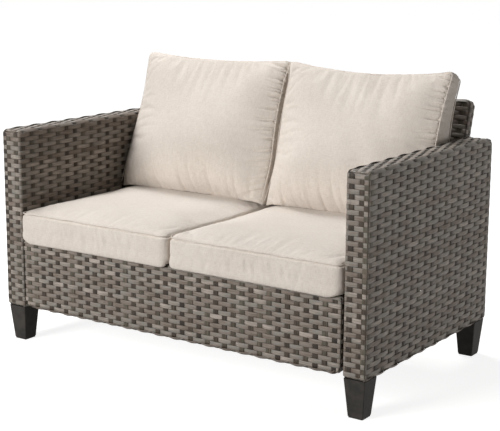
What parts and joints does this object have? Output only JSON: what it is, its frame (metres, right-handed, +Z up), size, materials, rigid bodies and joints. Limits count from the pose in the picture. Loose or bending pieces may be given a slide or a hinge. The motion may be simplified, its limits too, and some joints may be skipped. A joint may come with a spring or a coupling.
{
  "type": "patio loveseat",
  "caption": "Two-seat outdoor sofa with straight woven arms, a woven front apron, a leaning woven back, short tapered feet and loose seat and back cushions.",
  "frame": {"origin": "on the floor under the middle of the loveseat's bounding box", "axes": "+Z up, front towards -Y, +X to the right as seen from the front"},
  "size_m": [1.26, 0.75, 0.8408],
  "materials": {
    "wicker": "grey-brown flat polyethylene strands",
    "steel_frame": "black powder coat",
    "black_plastic": "matte moulded",
    "zinc_steel": "bright zinc plate",
    "cushion_fabric": "beige woven polyester",
    "cushion_foam": "open-cell foam slab",
    "fibre_fill": "polyester fibre",
    "zip_tape": "coil zip tape in the cover's colour",
    "zip_metal": "painted zinc alloy"
  },
  "bodies": {
    "frame": {"arm_weave_left": "wicker", "arm_frame_left": "steel_frame", "seat_side_rail_left": "steel_frame", "back_post_left": "steel_frame", "foot_front_left": "black_plastic", "foot_glide_front_left": "black_plastic", "foot_rear_left": "black_plastic", "foot_glide_rear_left": "black_plastic", "arm_weave_right": "wicker", "arm_frame_right": "steel_frame", "seat_side_rail_right": "steel_frame", "back_post_right": "steel_frame", "foot_front_right": "black_plastic", "foot_glide_front_right": "black_plastic", "foot_rear_right": "black_plastic", "foot_glide_rear_right": "black_plastic", "seat_crossbar_left": "steel_frame", "seat_crossbar_middle": "steel_frame", "seat_crossbar_right": "steel_frame", "apron_weave": "wicker", "apron_frame": "steel_frame", "seat_rear_rail": "steel_frame", "seat_rail_caps": "black_plastic", "seat_deck": "wicker", "back_weave": "wicker", "back_rails": "steel_frame", "back_post_caps": "black_plastic", "foot_bolts": "zinc_steel", "arm_bolts": "zinc_steel", "arm_washers": "zinc_steel", "back_bolts": "zinc_steel", "back_washers": "zinc_steel", "back_spacers": "black_plastic", "threaded_inserts": "zinc_steel"},
    "seat_cushion_left": {"seat_cushion_cover_left": "cushion_fabric", "seat_cushion_foam_left": "cushion_foam", "seat_cushion_zip_left": "zip_tape"},
    "seat_zip_slider_left": {"seat_cushion_zip_slider_left": "zip_metal"},
    "seat_cushion_right": {"seat_cushion_cover_right": "cushion_fabric", "seat_cushion_foam_right": "cushion_foam", "seat_cushion_zip_right": "zip_tape"},
    "seat_zip_slider_right": {"seat_cushion_zip_slider_right": "zip_metal"},
    "back_cushion_left": {"back_cushion_cover_left": "cushion_fabric", "back_cushion_fill_left": "fibre_fill", "back_cushion_zip_left": "zip_tape"},
    "back_zip_slider_left": {"back_cushion_zip_slider_left": "zip_metal"},
    "back_cushion_right": {"back_cushion_cover_right": "cushion_fabric", "back_cushion_fill_right": "fibre_fill", "back_cushion_zip_right": "zip_tape"},
    "back_zip_slider_right": {"back_cushion_zip_slider_right": "zip_metal"}
  },
  "joints": [
    {"name": "seat_cushion_left_pull", "type": "slide", "parent": "frame", "child": "seat_cushion_left", "axis": [0, -1, 0], "range_m": [0, 0.6]},
    {"name": "seat_zip_left_run", "type": "slide", "parent": "seat_cushion_left", "child": "seat_zip_slider_left", "axis": [-1, 0, 0], "range_m": [0, 0.4]},
    {"name": "seat_cushion_right_pull", "type": "slide", "parent": "frame", "child": "seat_cushion_right", "axis": [0, -1, 0], "range_m": [0, 0.6]},
    {"name": "seat_zip_right_run", "type": "slide", "parent": "seat_cushion_right", "child": "seat_zip_slider_right", "axis": [1, 0, 0], "range_m": [0, 0.4]},
    {"name": "back_cushion_left_lift", "type": "slide", "parent": "frame", "child": "back_cushion_left", "axis": [0, 0.2874, 0.9578], "range_m": [0, 0.45]},
    {"name": "back_zip_left_run", "type": "slide", "parent": "back_cushion_left", "child": "back_zip_slider_left", "axis": [-1, 0, 0], "range_m": [0, 0.4]},
    {"name": "back_cushion_right_lift", "type": "slide", "parent": "frame", "child": "back_cushion_right", "axis": [0, 0.2874, 0.9578], "range_m": [0, 0.45]},
    {"name": "back_zip_right_run", "type": "slide", "parent": "back_cushion_right", "child": "back_zip_slider_right", "axis": [1, 0, 0], "range_m": [0, 0.4]}
  ]
}
